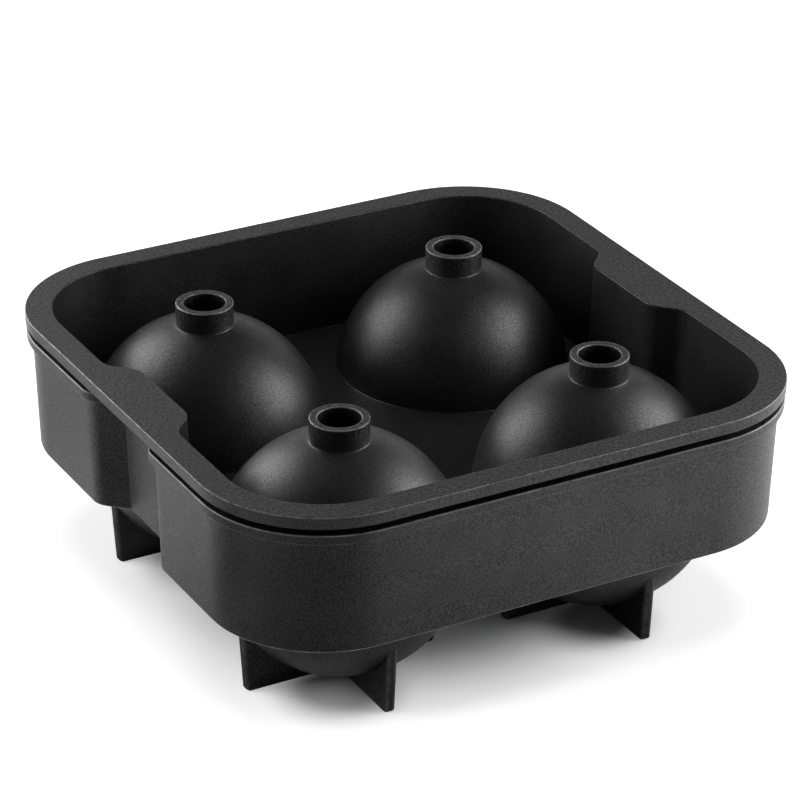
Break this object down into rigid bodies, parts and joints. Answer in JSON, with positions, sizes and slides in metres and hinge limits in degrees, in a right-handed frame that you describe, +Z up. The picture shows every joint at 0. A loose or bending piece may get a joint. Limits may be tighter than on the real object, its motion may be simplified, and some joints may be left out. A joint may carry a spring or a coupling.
{
  "type": "ice ball mold",
  "caption": "Square silicone ice ball mold: a domed upper half with fill spouts lifts off a lower half with cups, finned feet and a skirt.",
  "frame": {"origin": "on the table under the middle of the mold", "axes": "+Z up along the fill bores; +X and +Y along the two sides, with the finger notches on the X sides"},
  "size_m": [0.122, 0.122, 0.053],
  "materials": {
    "black_silicone": "matte, fine grained silicone"
  },
  "bodies": {
    "lower_half": {"lip_band": "black_silicone", "skirt_wall": "black_silicone", "base_floor": "black_silicone", "cup_left_front": "black_silicone", "cup_right_front": "black_silicone", "cup_left_rear": "black_silicone", "cup_right_rear": "black_silicone", "foot_left_front": "black_silicone", "foot_right_front": "black_silicone", "foot_left_rear": "black_silicone", "foot_right_rear": "black_silicone"},
    "upper_half": {"rim_flange": "black_silicone", "tray_wall": "black_silicone", "tray_floor": "black_silicone", "dome_left_front": "black_silicone", "dome_right_front": "black_silicone", "dome_left_rear": "black_silicone", "dome_right_rear": "black_silicone", "spout_left_front": "black_silicone", "spout_right_front": "black_silicone", "spout_left_rear": "black_silicone", "spout_right_rear": "black_silicone"}
  },
  "joints": [
    {"name": "lift_off", "type": "slide", "parent": "lower_half", "child": "upper_half", "axis": [0, 0, 1], "range_m": [0, 0.06]}
  ]
}
